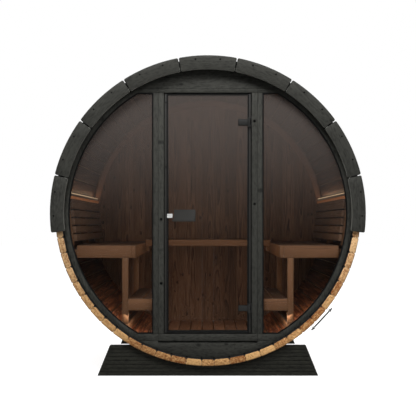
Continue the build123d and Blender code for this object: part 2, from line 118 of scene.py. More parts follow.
door_edge_width = 0.0078
door_seal_start = 0.008
door_seal_end = 0.019
door_seal_foot = 0.012
door_seal_head = 0.010
door_seal_front = glass_low.y - 0.00025
door_seal_back = glass_low.y + 0.0004
door_seal_ease = 0.0001
hinge_pad_reach = 0.0035
hinge_pad_gap = 0.0005
hinge_ease = 0.0006
lock_ease = 0.0015
latch_ease = 0.0008
button_heights = (1.375, 1.800)
button_diameter = 0.011
button_inset = 0.004

# How far colours reach into and along the staves and curved boards, in metres; the slope is a share
lining_depth = 0.0066
bore_black_depth = 0.003
notch_black_depth = 0.0135
notch_slope = 1.1
outer_skin_depth = 0.012
outer_dark_depths = (0.006, 0.001)
groove_depths = (0.0008, 0.004)
painted_inner_highlight_depth = 0.01
wall_black_reach = 0.003

# Growth rings in a metre of wood, and the height of the grain drawn into metal
ring_count = 260.0
metal_relief = 0.00004

# Colours that no setting changes
lower_end_shade = (0.95, 0.86, 0.70)
seam_colour = (0.09, 0.045, 0.02)
strip_light = (1.0, 0.72, 0.45)
room_light = (1.0, 0.9, 0.78)
white = (1.0, 1.0, 1.0)

# The picture: its width in pixels, and the camera's place and lens
picture_width = 416
camera_distance = 5.18
camera_height = 0.9985
camera_lens = 68.57
camera_shift = (0.15, 16)


# Shader graphs written as expressions
class Wire:
    """One output of a shader node, which can take part in sums and products."""

    def __init__(self, finish, output):
        self.finish = finish
        self.output = output
        self.is_vector = output.type in {"VECTOR", "RGBA"}

    def combined(self, operation, first, second):
        vector = any(isinstance(part, Wire) and part.is_vector for part in (first, second))
        kind = "ShaderNodeVectorMath" if vector else "ShaderNodeMath"
        if vector:
            first, second = (as_vector(part) for part in (first, second))
        return self.finish.node(kind, {"operation": operation}, {0: first, 1: second})

    def __add__(self, other):
        return self.combined("ADD", self, other)

    def __radd__(self, other):
        return self.combined("ADD", other, self)

    def __sub__(self, other):
        return self.combined("SUBTRACT", self, other)

    def __rsub__(self, other):
        return self.combined("SUBTRACT", other, self)

    def __mul__(self, other):
        return self.combined("MULTIPLY", self, other)

    def __rmul__(self, other):
        return self.combined("MULTIPLY", other, self)

    def __truediv__(self, other):
        return self.combined("DIVIDE", self, other)

    def __rtruediv__(self, other):
        return self.combined("DIVIDE", other, self)

    def __pow__(self, other):
        return self.combined("POWER", self, other)


def as_vector(part):
    """A plain number as three equal ones, and anything else as it is."""
    return (part, part, part) if isinstance(part, (int, float)) else part


class Finish:
    """The nodes of a material or of the world, made by one method."""

    def __init__(self, owner):
        owner.use_nodes = True
        self.owner = owner
        self.tree = owner.node_tree
        self.tree.nodes.clear()

    def node(self, kind, settings=None, sockets=None, output=0):
        """Add a node, set it up, feed its sockets with numbers or wires, and give back an output."""
        made = self.tree.nodes.new(kind)
        for key, value in (settings or {}).items():
            if key == "stops":
                ramp = made.color_ramp
                while len(ramp.elements) < len(value):
                    ramp.elements.new(0.5)
                for element, (position, colour) in zip(ramp.elements, value):
                    element.position = position
                    element.color = (*colour, 1.0)
            else:
                setattr(made, key, value)
        for key, value in (sockets or {}).items():
            if isinstance(value, Wire):
                self.tree.links.new(value.output, made.inputs[key])
            elif isinstance(value, tuple) and made.inputs[key].type == "RGBA":
                made.inputs[key].default_value = (*value[:3], 1.0)
            else:
                made.inputs[key].default_value = value
        if not made.outputs:
            return made
        return Wire(self, made.outputs[output])

    def place(self):
        """The place of a point in the shared frame."""
        return self.node("ShaderNodeTexCoord", output="Object")

    def faces_along(self, low, high, axis=1):
        """1 where a surface faces along an axis, the barrel's own unless another is given, otherwise 0."""
        normal = self.node("ShaderNodeTexCoord", output="Normal")
        return self.between(self.math("ABSOLUTE", self.parts(normal)[axis]), low, high)

    def attribute(self, name, output="Vector"):
        return self.node("ShaderNodeAttribute", {"attribute_name": name}, output=output)

    def parts(self, vector):
        """The three numbers of a vector."""
        split = self.node("ShaderNodeSeparateXYZ", sockets={0: vector}).output.node
        return [Wire(self, output) for output in split.outputs]

    def vector(self, x, y, z):
        return self.node("ShaderNodeCombineXYZ", sockets={0: x, 1: y, 2: z})

    def scaled(self, colour, shade):
        """A colour made lighter or darker."""
        return self.node("ShaderNodeVectorMath", {"operation": "SCALE"}, {0: colour, 3: shade})

    def noise(self, vector, scale=1.0, detail=2.0, roughness=0.5):
        return self.node("ShaderNodeTexNoise", sockets={
            "Vector": vector, "Scale": scale, "Detail": detail, "Roughness": roughness})

    def cells(self, vector, output="Distance", dimensions="2D"):
        return self.node("ShaderNodeTexVoronoi", {"voronoi_dimensions": dimensions},
                         {"Vector": vector, "Scale": 1.0}, output)

    def math(self, operation, *values):
        return self.node("ShaderNodeMath", {"operation": operation}, dict(enumerate(values)))

    def between(self, value, low, high, start=0.0, end=1.0):
        """The value, brought smoothly from low..high to start..end."""
        return self.node("ShaderNodeMapRange", {"interpolation_type": "SMOOTHSTEP"},
                         {0: value, 1: low, 2: high, 3: start, 4: end})

    def mix(self, factor, first, second):
        """A colour between two, by a factor from 0 to 1."""
        return self.node("ShaderNodeMix", {"data_type": "RGBA"}, {0: factor, 6: first, 7: second}, output=2)

    def bump(self, height, distance, strength=1.0):
        return self.node("ShaderNodeBump", sockets={
            "Height": height, "Distance": distance, "Strength": strength})

    def surface(self, sockets):
        """End the material in a principled shader."""
        shader = self.node("ShaderNodeBsdfPrincipled", sockets=sockets)
        self.node("ShaderNodeOutputMaterial", sockets={"Surface": shader})
        return self.owner


def tint(red, green, blue):
    """A colour given as it looks on a screen, from 0 to 255, as the linear one that a shader takes."""
    return tuple((part / 255 / 12.92) if part / 255 <= 0.04045 else ((part / 255 + 0.055) / 1.055) ** 2.4
                 for part in (red, green, blue))


def wood(name, pale, deep, knot, contrast=0.55, rough=0.55, relief=0.0002, knots=0.35, spread=0.24,
         gloss=0.4, patches=0.5, streaks=0.5, streak_length=0.11, outline=None, painted_inner_highlight=None,
         painted_flat_face_shade=None, glow=0.0):
    """Boards with growth rings, fibres and knots, which run along each board's own length; dark edges, a
    painted highlight at the inner edge, painted shade on the faces that look up or down, and a painted glow
    can be added.
    """
    finish = Finish(bpy.data.materials.new(name))
    colour, height, fibre, knot_core = grained(finish, pale, deep, knot, contrast, knots, spread, patches,
                                               streaks, streak_length)
    if outline:
        # Painted highlight on the bevels next to the bore.
        if painted_inner_highlight:
            x, y, z = finish.parts(finish.place())
            rise = z - axis_height
            radius = finish.math("SQRT", x * x + rise * rise)
            near = finish.math("LESS_THAN", radius, bore_radius + painted_inner_highlight_depth)
            outline = finish.mix(near, outline, painted_inner_highlight)
        colour = finish.mix(finish.faces_along(0.97, 0.75), colour, outline)
    # Painted shade on the faces that look up or down.
    if painted_flat_face_shade:
        colour = finish.mix(finish.faces_along(0.3, 0.6, axis=2), colour, painted_flat_face_shade)
    sockets = {
        "Base Color": colour,
        "Roughness": finish.math("ADD", rough, (fibre - 0.5) * 0.22 + knot_core * -0.1),
        "Specular IOR Level": gloss,
        "Normal": finish.bump(height, relief),
    }
    # A painted glow, for a board that is no lamp.
    if glow:
        sockets |= {"Emission Color": colour, "Emission Strength": glow}
    return finish.surface(sockets)


def grained(finish, pale, deep, knot, contrast=0.5, knots=0.35, spread=0.24, patches=0.5, streaks=0.5,
            streak_length=0.11):
    """Colour and relief of sawn wood: the colour, the height, the fibres and the knots."""
    along, across, through = finish.parts(finish.attribute("grain"))
    tone = finish.attribute("tone", "Fac")
    knot_place = finish.vector(along * 5.5, across * 8.0, 0.0)
    knot_distance = finish.cells(knot_place)
    knot_chance = finish.parts(finish.cells(knot_place, "Color"))[0]
    kept = finish.math("LESS_THAN", knot_chance, knots)
    knot_core = finish.between(knot_distance, 0.11, 0.03) * kept
    swirl = finish.between(knot_distance, 0.42, 0.0) * kept
    wander = finish.noise(finish.vector(along * 1.1, across * 3.0, through * 3.0), 1.0, 3.0)
    waver = finish.noise(finish.vector(along * 5.0, across * 14.0, through * 14.0), 1.0, 2.0)
    pith = finish.math("SQRT", across * across + through * through)
    phase = pith * ring_count + wander * 9.0 + waver * 1.3 + swirl * 5.0
    ring = finish.math("FRACT", phase) ** 2.4
    fibre = finish.noise(finish.vector(along * 9.0, across * 520.0, through * 520.0), 1.0, 3.0, 0.6)
    cloud = finish.noise(finish.vector(along * 2.0, across * 9.0, through * 9.0), 1.0, 2.0)
    streak = finish.noise(finish.vector(along / streak_length, across * 95.0, through * 95.0), 1.0, 2.0, 0.6)
    grain = ring * contrast + (fibre - 0.5) * 0.55 + (cloud - 0.5) * patches + (streak - 0.5) * streaks
    colour = finish.mix(finish.math("ADD", grain, 0.12), pale, deep)
    shade = 1.0 - spread / 2 + tone * spread
    colour = finish.scaled(colour, shade)
    colour = finish.mix(knot_core * 0.7, colour, knot)
    return colour, ring * -0.6 + fibre * 0.7 - knot_core * 0.8, fibre, knot_core


def stave_wood(name, pale, deep, inner, warm, knot, rim):
    """Staves: pale end grain and outer faces, a darker inside, and black on their inner faces in front of
    the wall.
    """
    finish = Finish(bpy.data.materials.new(name))
    outer, height, fibre, knot_core = grained(finish, pale, deep, knot)
    x, y, z = finish.parts(finish.place())
    rise = z - axis_height
    radius = finish.math("SQRT", x * x + rise * rise)
    end_face = finish.faces_along(0.55, 0.9)
    ends, speckle = stave_ends(finish, radius, pale, deep, rim)
    colour = finish.mix(end_face, outer, ends)
    bored = finish.math("LESS_THAN", radius, bore_radius + lining_depth) * (1.0 - end_face)
    between_walls = finish.math("LESS_THAN", y, back_low.y)
    lining = stave_lining(finish, radius, fibre * 0.3 + height * -0.4, inner, warm, rim)
    colour = finish.mix(bored * between_walls, colour, lining)
    in_front = finish.math("LESS_THAN", y, wall_low.y + wall_black_reach)
    below_skin = finish.math("LESS_THAN", radius, barrel_radius - outer_skin_depth) * (1.0 - end_face)
    colour = finish.mix(below_skin * in_front, colour, rim)
    return finish.surface({
        "Base Color": colour,
        "Roughness": finish.math("ADD", 0.6, (fibre - 0.5) * 0.22 + knot_core * -0.1),
        "Specular IOR Level": 0.2,
        "Normal": finish.bump(height + speckle * 0.3, 0.0002),
    })


def stave_ends(finish, radius, pale, deep, rim):
    """The colour and speckle of the staves' end grain: painted shade towards the bottom, painted light on
    the right, darker at the outer edge and the joints, black at the bore and round each joint, and painted
    shadow under the roof.
    """
    x, y, z = finish.parts(finish.place())
    along, across, through = finish.parts(finish.attribute("grain"))
    tone = finish.attribute("tone", "Fac")
    rise = z - axis_height
    turn = finish.math("ABSOLUTE", finish.math("ARCTAN2", x, rise))
    seam = finish.math("ABSOLUTE", finish.math("FRACT", turn / stave_pitch) - 0.5)
    end_place = finish.vector(across * 75.0, through * 75.0, tone * 9.0)
    speckle = finish.noise(end_place, 1.0, 3.0, 0.7)
    pith = finish.math("SQRT", across * across + through * through)
    arcs = finish.math("FRACT", pith * 110.0 + finish.noise(end_place, 0.3, 2.0) * 1.5) ** 1.6
    colour = finish.mix((speckle - 0.5) * 3.0 + arcs * 0.6 + (tone - 0.5) * 0.8 + 0.16, pale, deep)
    # Painted shade: the end grain grows darker towards the bottom.
    painted_lower_shade = finish.mix(finish.between(z, 0.9, 0.3), white, lower_end_shade)
    # Painted light: the end grain is darker on the left side and lighter on the right.
    colour = colour * painted_lower_shade * finish.between(x, -0.8, 0.8, 0.88, 1.22)
    # The end grain darker in a band at the outer edge, and at the joints.
    outer_dark = finish.between(radius, *(barrel_radius - depth for depth in outer_dark_depths))
    joint = finish.between(seam, 0.028, 0.012) * 0.6
    colour = finish.mix(finish.math("MAXIMUM", outer_dark, joint) * 0.8, colour, seam_colour)
    # Painted shadow: the stave ends under the roof, seen through the notches between the curved boards, turn
    # black.
    under_roof = finish.math("GREATER_THAN", rise / radius, math.cos(roof_half_angle))
    # A black band along the bore and a black V round each joint.
    at_bore = finish.math("LESS_THAN", radius, bore_radius + bore_black_depth)
    from_joint = seam * stave_pitch * barrel_radius * notch_slope
    in_notch = finish.math("LESS_THAN", radius + from_joint, bore_radius + notch_black_depth)
    # Painted shadow under the roof and the black at the bore and joints, all in the staves' dark colour.
    stained = finish.math("MAXIMUM", under_roof, finish.math("MAXIMUM", at_bore, in_notch))
    return finish.mix(stained, colour, rim), speckle


def stave_lining(finish, radius, grain, inner, warm, rim):
    """The colour of the staves inside the room, with painted warm light near the floor and painted shade in
    their grooves.
    """
    along, across, through = finish.parts(finish.attribute("grain"))
    z = finish.parts(finish.place())[2]
    soot = finish.noise(finish.vector(along * 3.0, across * 60.0, through * 60.0), 1.0, 3.0, 0.6)
    streak = finish.between(grain + soot * 1.4, 0.35, 0.95)
    # Painted light: a warm orange pool on the staves near the floor.
    colour = finish.mix(finish.between(z, 0.7, 0.3), finish.mix(streak, *inner), finish.mix(streak, *warm))
    # Painted shade in the grooves between the staves, stronger lower down.
    groove = finish.between(radius, *(bore_radius + depth for depth in groove_depths))
    return finish.mix(groove * finish.between(z, 1.3, 0.6, 0.6, 0.9), colour, rim)


def bare_metal(name, colour, metallic, rough, grain=(40.0, 900.0, 900.0), gloss=0.5):
    """Metal with a fine drawn grain and a little handling wear."""
    finish = Finish(bpy.data.materials.new(name))
    x, y, z = finish.parts(finish.place())
    drawn = finish.noise(finish.vector(x * grain[0], y * grain[1], z * grain[2]), 1.0, 3.0)
    worn = finish.noise(finish.place(), 24.0, 4.0)
    shade = 0.86 + (drawn - 0.5) * 0.16 + worn * 0.24
    base = finish.scaled(colour, shade)
    return finish.surface({
        "Base Color": base,
        "Metallic": metallic,
        "Specular IOR Level": gloss,
        "Roughness": finish.math("ADD", rough, (drawn - 0.5) * 0.18 + (worn - 0.5) * 0.2),
        "Normal": finish.bump(drawn + worn, metal_relief),
    })


def tinted_glass(name, low_painted_reflection, high_painted_reflection, low_cover, high_cover):
    """Bronze-tinted sheet glass with a painted reflection, paler and more opaque towards its top."""
    finish = Finish(bpy.data.materials.new(name))
    x, y, z = finish.parts(finish.place())
    film = finish.noise(finish.place(), 3.0, 3.0)
    return finish.surface({
        "Base Color": finish.mix(finish.between(z, 0.7, 1.8), low_painted_reflection, high_painted_reflection),
        "Roughness": 0.03 + film * 0.05,
        "Alpha": finish.between(z, 0.75, 1.72, low_cover, high_cover) + (film - 0.5) * 0.03,
        "IOR": 1.52,
        "Specular IOR Level": 0.1,
    })


def shingle_felt(name):
    """Mineral granules on roofing felt."""
    finish = Finish(bpy.data.materials.new(name))
    place = finish.place()
    grit = finish.cells(place * 520.0, "Color", "3D")
    grit_value = finish.parts(grit)[0]
    patches = finish.noise(place, 5.0, 4.0)
    tone = finish.attribute("tone", "Fac")
    colour = finish.mix(grit_value, tint(24, 24, 26), tint(78, 78, 80))
    shade = 0.62 + patches * 0.5 + tone * 0.3
    return finish.surface({
        "Base Color": finish.scaled(colour, shade),
        "Roughness": 0.86 + grit_value * 0.1,
        "Normal": finish.bump(grit_value, 0.0006),
    })


def rubber(name, colour):
    """Black rubber with a faint bloom."""
    finish = Finish(bpy.data.materials.new(name))
    bloom = finish.noise(finish.place(), 60.0, 4.0)
    shade = 0.8 + bloom * 0.4
    return finish.surface({
        "Base Color": finish.scaled(colour, shade),
        "Roughness": 0.62 + bloom * 0.2,
        "Specular IOR Level": 0.1,
        "Normal": finish.bump(bloom, 0.0002),
    })


def diffuser(name, colour, strength):
    """Frosted strip that glows, a little uneven from lamp to lamp."""
    finish = Finish(bpy.data.materials.new(name))
    x, y, z = finish.parts(finish.place())
    lamps = finish.math("SINE", y * 370.0) * 0.5 + 0.5
    shade = 0.82 + lamps * 0.18
    glow = finish.scaled(colour, shade)
    return finish.surface({
        "Base Color": colour,
        "Roughness": 0.45,
        "Emission Color": glow,
        "Emission Strength": strength,
    })


# Modelling helpers
def link(piece):
    """Put a new object into the scene."""
    bpy.context.scene.collection.objects.link(piece)
    return piece


def select_only(*pieces):
    """Select these pieces alone, the first of them active."""
    if bpy.context.object and bpy.context.object.mode != "OBJECT":
        bpy.ops.object.mode_set(mode="OBJECT")
    bpy.ops.object.select_all(action="DESELECT")
    for piece in pieces:
        piece.select_set(True)
    bpy.context.view_layer.objects.active = pieces[0]


def settle(piece):
    """Put a piece's place into its mesh."""
    select_only(piece)
    bpy.ops.object.transform_apply(location=True, rotation=True, scale=True)
    return piece


def joined(pieces, name):
    """Several pieces as one."""
    select_only(*pieces)
    if len(pieces) > 1:
        bpy.ops.object.join()
    whole = bpy.context.view_layer.objects.active
    whole.name = name
    whole.data.name = name
    return whole


def with_modifier(piece, kind, **settings):
    """Add a modifier and apply it."""
    select_only(piece)
    modifier = piece.modifiers.new(kind.title(), kind)
    for key, value in settings.items():
        setattr(modifier, key, value)
    bpy.ops.object.modifier_apply(modifier=modifier.name)
    return piece


def eased(piece, width, segments=2):
    """Round off a piece's sharp edges."""
    crease = math.radians(35.0)
    with_modifier(piece, "BEVEL", width=width, segments=segments, limit_method="ANGLE", angle_limit=crease,
                  harden_normals=False)
    bpy.ops.object.shade_smooth_by_angle(angle=crease)
    return piece


def merged_copy(node, name):
    """A copy of a CAD node, with its loose triangles merged into whole faces."""
    piece = link(bpy.data.objects.new(name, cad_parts[node].data.copy()))
    piece.data.name = name
    select_only(piece)
    bpy.ops.mesh.customdata_custom_splitnormals_clear()
    bpy.ops.object.mode_set(mode="EDIT")
    bpy.ops.mesh.select_all(action="SELECT")
    bpy.ops.mesh.remove_doubles(threshold=0.00001)
    bpy.ops.mesh.dissolve_limited(angle_limit=math.radians(0.2))
    bpy.ops.object.mode_set(mode="OBJECT")
    return piece


def islands(mesh):
    """The vertex numbers of each separate board in a mesh."""
    work = bmesh.new()
    work.from_mesh(mesh)
    work.verts.ensure_lookup_table()
    seen = set()
    groups = []
    for start in work.verts:
        if start.index in seen:
            continue
        seen.add(start.index)
        group = []
        waiting = [start]
        while waiting:
            vertex = waiting.pop()
            group.append(vertex.index)
            for edge in vertex.link_edges:
                neighbour = edge.other_vert(vertex)
                if neighbour.index not in seen:
                    seen.add(neighbour.index)
                    waiting.append(neighbour)
        groups.append(group)
    work.free()
    return groups


def lay_grain(piece, along=None):
    """Give each board its own tone and grain direction, along the board unless a direction is given."""
    mesh = piece.data
    place = np.zeros(len(mesh.vertices) * 3, np.float32)
    mesh.vertices.foreach_get("co", place)
    place = place.reshape(-1, 3).astype(float)
    grain = np.zeros_like(place)
    tone = np.zeros(len(place))
    chance = random.Random(piece.name)
    for group in islands(mesh):
        local = place[group] - place[group].mean(0)
        if along is None:
            length_axis = np.linalg.eigh(local.T @ local)[1][:, 2]
        else:
            length_axis = np.array(along, float)
        flat = local - np.outer(local @ length_axis, length_axis)
        width_axis = np.linalg.eigh(flat.T @ flat)[1][:, 2]
        depth_axis = np.cross(length_axis, width_axis)
        axes = np.stack([length_axis, width_axis, depth_axis], 1)
        start = (chance.uniform(0, 20), chance.uniform(-0.04, 0.04), chance.uniform(0.03, 0.09))
        grain[group] = local @ axes + start
        tone[group] = chance.random()
    for name, kind, key, values in (
        ("grain", "FLOAT_VECTOR", "vector", grain),
        ("tone", "FLOAT", "value", tone),
    ):
        attribute = mesh.attributes.new(name, kind, "POINT")
        attribute.data.foreach_set(key, values.astype(np.float32).ravel())


def finished(piece, material, body="cabin", stands_for=()):
    """Give a piece its material and slot, its body, and the CAD nodes that it stands for."""
    piece.data.materials.clear()
    piece.data.materials.append(material)
    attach(piece, body)
    if stands_for:
        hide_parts(*stands_for)
    return piece


def boards(node, material, ease, along=None, screws=None, screw_size=1.0):
    """The boards of a CAD node with eased edges and grain, and screws at the places a function finds."""
    piece = eased(merged_copy(node, node + "_boards"), ease)
    if screws:
        screwed(piece, screws(piece), node + "_screws", settings().screw_diameter * screw_size)
    lay_grain(piece, along)
    return finished(piece, material, stands_for=[node])


def turned(matrices, source, name):
    """Copies of a small part, one for each placing, as one piece."""
    copies = []
    for matrix in matrices:
        copy = link(bpy.data.objects.new(name, source.data.copy()))
        copy.data.transform(matrix)
        copies.append(copy)
    return joined(copies, name)


def facing(point, normal, spin=0.0):
    """The placing that puts a part's own +Z along a normal, at a point."""
    turn = Vector(normal).to_track_quat("Z", "Y").to_matrix().to_4x4()
    return Matrix.Translation(Vector(point)) @ turn @ Matrix.Rotation(spin, 4, "Z")


def picked_faces(work, test):
    """Select the faces that pass a test."""
    for face in work.faces:
        face.select_set(test(face))


def screw_head(diameter):
    """A countersunk screw head with a square recess, facing +Z."""
    bpy.ops.object.select_all(action="DESELECT")
    bpy.ops.mesh.primitive_cylinder_add(vertices=16, radius=diameter / 2, depth=diameter * 0.24)
    head = bpy.context.object
    bpy.ops.object.mode_set(mode="EDIT")
    bpy.ops.mesh.select_all(action="DESELECT")
    work = bmesh.from_edit_mesh(head.data)
    picked_faces(work, lambda face: face.normal.z > 0.9)
    bmesh.update_edit_mesh(head.data)
    bpy.ops.mesh.inset(thickness=diameter * 0.05, depth=diameter * 0.03)
    bpy.ops.mesh.inset(thickness=diameter * 0.22)
    bpy.ops.mesh.inset(thickness=diameter * 0.01, depth=-diameter * 0.12)
    bpy.ops.object.mode_set(mode="OBJECT")
    bpy.ops.object.shade_smooth_by_angle(angle=math.radians(30))
    return head


def drilled(piece, places, diameter, depth):
    """Cut a round hole into a piece at each place, down from the surface that the place lies on."""
    bpy.ops.object.select_all(action="DESELECT")
    bpy.ops.mesh.primitive_cylinder_add(vertices=16, radius=diameter / 2, depth=2 * depth)
    bit = bpy.context.object
    cutter = turned(places, bit, "bit")
    with_modifier(piece, "BOOLEAN", object=cutter, operation="DIFFERENCE", solver="EXACT")
    for used in (bit, cutter):
        bpy.data.objects.remove(used)
    return piece


def screwed(piece, places, name, diameter):
    """Sink a screw into a piece at each place."""
    drilled(piece, places, diameter * 1.15, screw_hole_depth)
    screw = screw_head(diameter)
    sunk = [place @ Matrix.Translation((0, 0, -screw_sinking)) for place in places]
    heads = turned(sunk, screw, name)
    bpy.data.objects.remove(screw)
    return finished(heads, materials["screw"])


def box_piece(name, low, high, ease=0.0005):
    """A squared bar between two corners, with eased edges."""
    bpy.ops.object.select_all(action="DESELECT")
    middle = (Vector(low) + Vector(high)) / 2
    bpy.ops.mesh.primitive_cube_add(size=1.0, location=middle, scale=Vector(high) - Vector(low))
    piece = bpy.context.object
    piece.name = name
    settle(piece)
    return eased(piece, ease)


def in_edit(piece):
    """Open a piece's mesh with nothing selected."""
    select_only(piece)
    bpy.ops.object.mode_set(mode="EDIT")
    bpy.ops.mesh.select_all(action="DESELECT")
    return bmesh.from_edit_mesh(piece.data)


def gasket(node, name, start, width, depth):
    """A strip round the front of a pane, which starts some way in from the pane's own outline."""
    piece = merged_copy(node, name)
    work = in_edit(piece)
    picked_faces(work, lambda face: face.normal.y > -0.9)
    bmesh.update_edit_mesh(piece.data)
    bpy.ops.mesh.delete(type="FACE")
    if start:
        bpy.ops.mesh.select_all(action="SELECT")
        bpy.ops.mesh.inset(thickness=start)
        bpy.ops.mesh.select_all(action="INVERT")
        bpy.ops.mesh.delete(type="FACE")
    bpy.ops.mesh.select_all(action="SELECT")
    bpy.ops.mesh.inset(thickness=width)
    bpy.ops.mesh.delete(type="ONLY_FACE")
    bpy.ops.mesh.select_all(action="SELECT")
    bpy.ops.mesh.extrude_region_move(TRANSFORM_OT_translate={"value": (0, -depth, 0)})
    bpy.ops.mesh.select_all(action="SELECT")
    bpy.ops.mesh.normals_make_consistent(inside=False)
    bpy.ops.object.mode_set(mode="OBJECT")
    return eased(piece, width * 0.2)


def spun_bar(name, width, depth, placing, steps, turn):
    """A bar of a width and a depth, put where its spin round the barrel's axis starts."""
    bpy.ops.object.select_all(action="DESELECT")
    bpy.ops.mesh.primitive_plane_add(size=1.0)
    bar = bpy.context.object
    bar.data.transform(Matrix.Diagonal((width, depth, 1, 1)))
    bar.data.transform(placing)
    in_edit(bar)
    bpy.ops.mesh.select_all(action="SELECT")
    bpy.ops.mesh.spin(steps=steps, angle=turn, center=(0, 0, axis_height), axis=(0, 1, 0))
    bpy.ops.mesh.select_all(action="SELECT")
    bpy.ops.mesh.remove_doubles(threshold=0.00001)
    bpy.ops.mesh.select_all(action="DESELECT")
    bpy.ops.mesh.select_interior_faces()
    bpy.ops.mesh.delete(type="FACE")
    bpy.ops.mesh.select_all(action="SELECT")
    bpy.ops.mesh.normals_make_consistent(inside=False)
    bpy.ops.object.mode_set(mode="OBJECT")
    bar.name = name
    return bar


def shingle(width, length):
    """A flat shingle tab with rounded lower corners: its width along X, its lower edge at y = 0."""
    bpy.ops.object.select_all(action="DESELECT")
    bpy.ops.mesh.primitive_grid_add(x_subdivisions=2, y_subdivisions=3, size=1.0,
                                    location=(0, length / 2, 0))
    bpy.context.object.scale = (width, length, 1)
    tab = settle(bpy.context.object)
    work = in_edit(tab)
    for vertex in work.verts:
        vertex.select_set(vertex.co.y < 0.001 and abs(vertex.co.x) > width * 0.49)
    work.select_flush_mode()
    bmesh.update_edit_mesh(tab.data)
    bpy.ops.mesh.bevel(offset=tab_corner, segments=3, affect="VERTICES")
    bpy.ops.object.mode_set(mode="OBJECT")
    return tab


def laid_on_roof(tab, side, angle, y):
    """A copy of a flat tab, bent round the roof with its lower edge at an angle and lifted off it."""
    copy = link(bpy.data.objects.new("tab", tab.data.copy()))
    length = max(vertex.co.y for vertex in copy.data.vertices)
    for vertex in copy.data.vertices:
        share = vertex.co.y / length
        radius = roof_radius + tab_lift * (1.0 - share) + tab_clearance
        vertex.co = round_point(side * (angle - vertex.co.y / roof_radius), radius, y + side * vertex.co.x)
    return copy


def round_point(angle, radius, y):
    """A point at an angle from straight up round the barrel's axis, at a radius from it."""
    return Vector((radius * math.sin(angle), y, axis_height + radius * math.cos(angle)))


class SaunaSettings(bpy.types.PropertyGroup):
    """Sizes and colours that a user would change."""

    edge_ease: bpy.props.FloatProperty(
        name="Edge rounding", description="Radius of the eased edges of boards",
        default=0.002, min=0.0005, max=0.004, unit="LENGTH")
    screw_diameter: bpy.props.FloatProperty(
        name="Screw head", description="Diameter of the screw heads in the boards",
        default=0.009, min=0.005, max=0.014, unit="LENGTH")
    shingle_exposure: bpy.props.FloatProperty(
        name="Shingle exposure", description="Height of each visible course of shingles",
        default=0.142, min=0.08, max=0.2, unit="LENGTH")
    back_board_width: bpy.props.FloatProperty(
        name="Back board width", description="Width of the upright boards of the back wall",
        default=0.095, min=0.06, max=0.15, unit="LENGTH")
    stave_colour: bpy.props.FloatVectorProperty(
        name="Stave colour", description="Pale wood of the staves",
        subtype="COLOR", size=3, min=0, max=1, default=tint(218, 180, 132))
    bench_colour: bpy.props.FloatVectorProperty(
        name="Bench colour", description="Heat-treated wood of the benches",
        subtype="COLOR", size=3, min=0, max=1, default=tint(138, 98, 68))
    stain_colour: bpy.props.FloatVectorProperty(
        name="Stain colour", description="Black stain of the front and the cradles",
        subtype="COLOR", size=3, min=0, max=1, default=tint(60, 60, 56))


def settings():
    """The values that a user can change."""
    return bpy.context.scene.sauna


materials = {}


